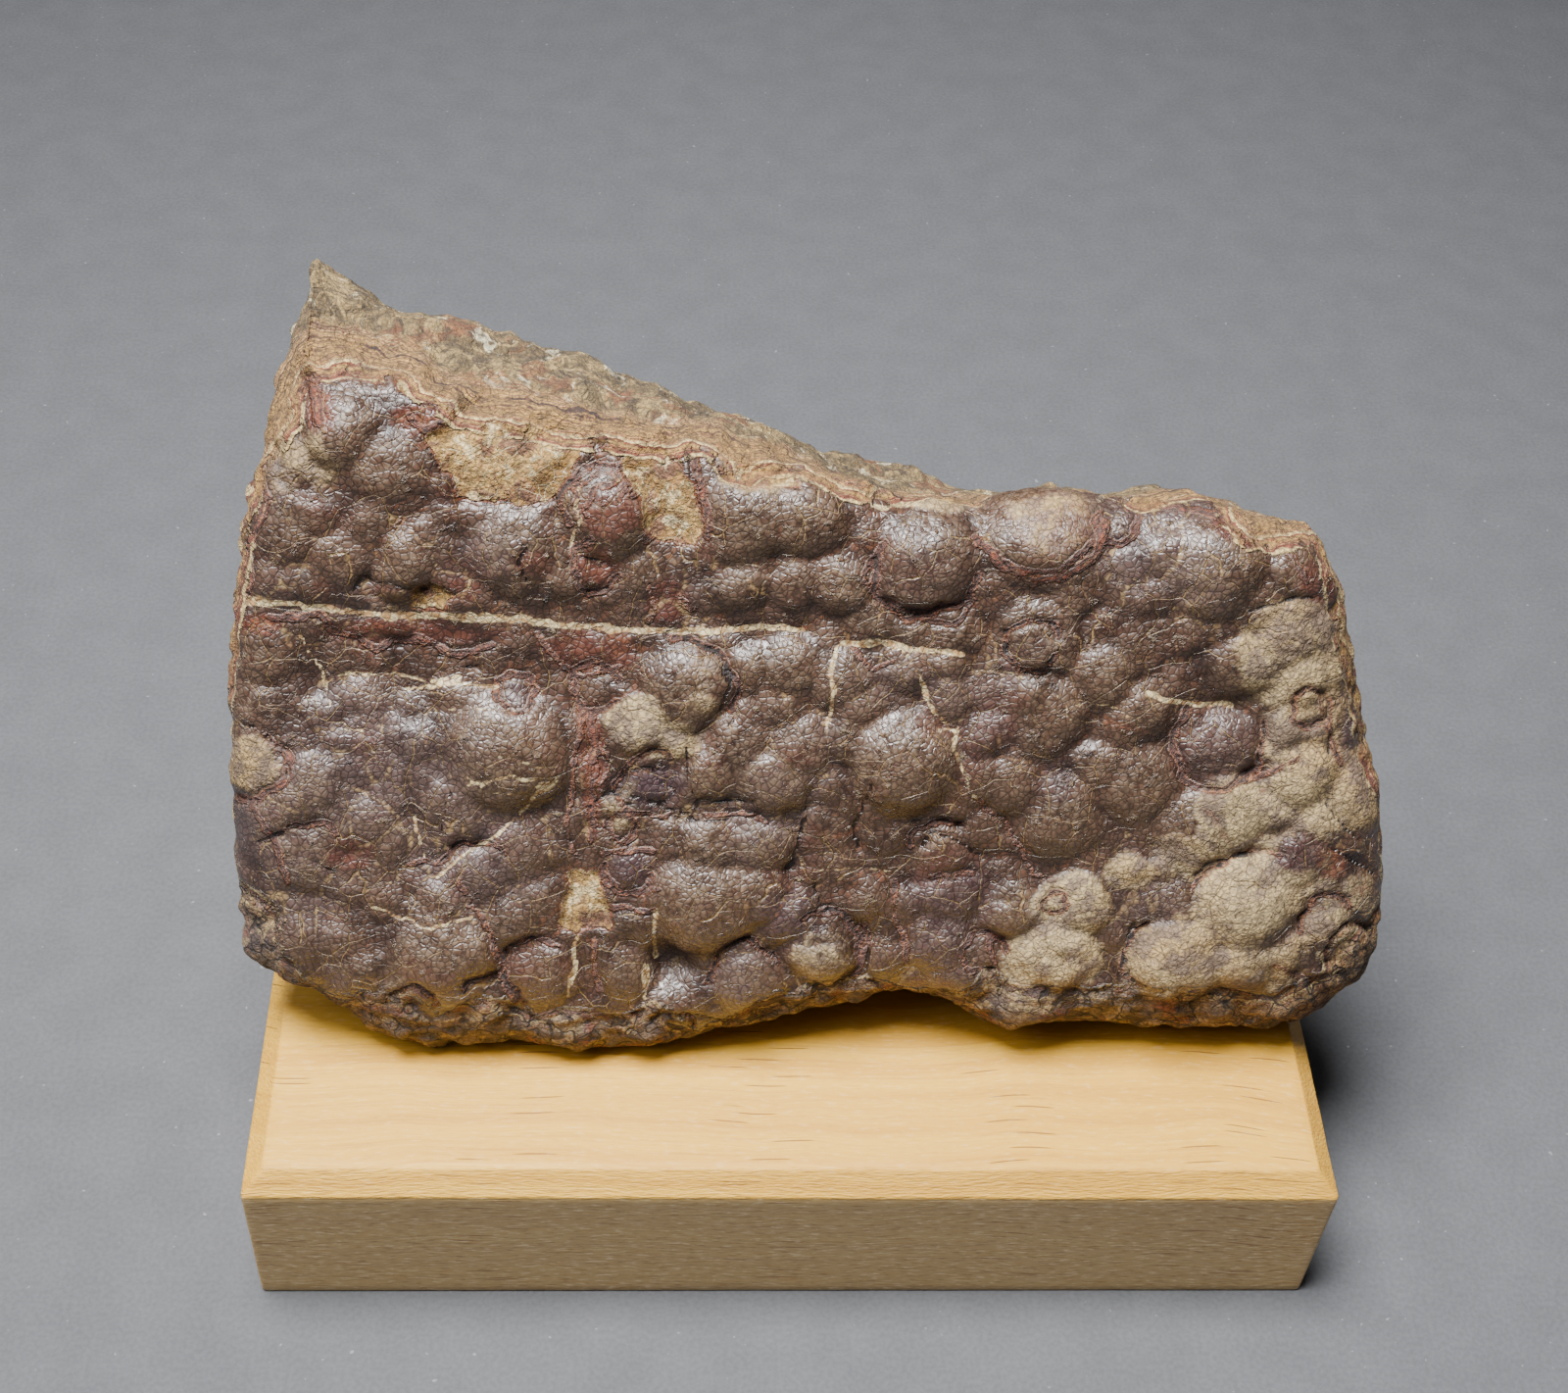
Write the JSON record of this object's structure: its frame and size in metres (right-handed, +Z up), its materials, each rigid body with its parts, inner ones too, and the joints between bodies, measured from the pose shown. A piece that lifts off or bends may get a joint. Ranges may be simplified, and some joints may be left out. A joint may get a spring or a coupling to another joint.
{
  "type": "mineral specimen on a stand",
  "caption": "Slab of schalenblende sphalerite with a face of rounded brown lumps, lying back on a chamfered block of pale wood.",
  "frame": {"origin": "under the middle of the whole, on the ground", "axes": "+X to the right along the stand's long side seen from the lumpy face, -Y towards the viewer of that face, +Z up"},
  "size_m": [0.1608, 0.0918, 0.1201],
  "materials": {
    "ore": "brown lumpy skin with a satin sheen, broken grey-green and buff rock on the other sides",
    "pale_wood": "planed unvarnished hardwood with short brown pores"
  },
  "bodies": {
    "root": {"stone": "ore", "stand": "pale_wood"}
  },
  "joints": []
}
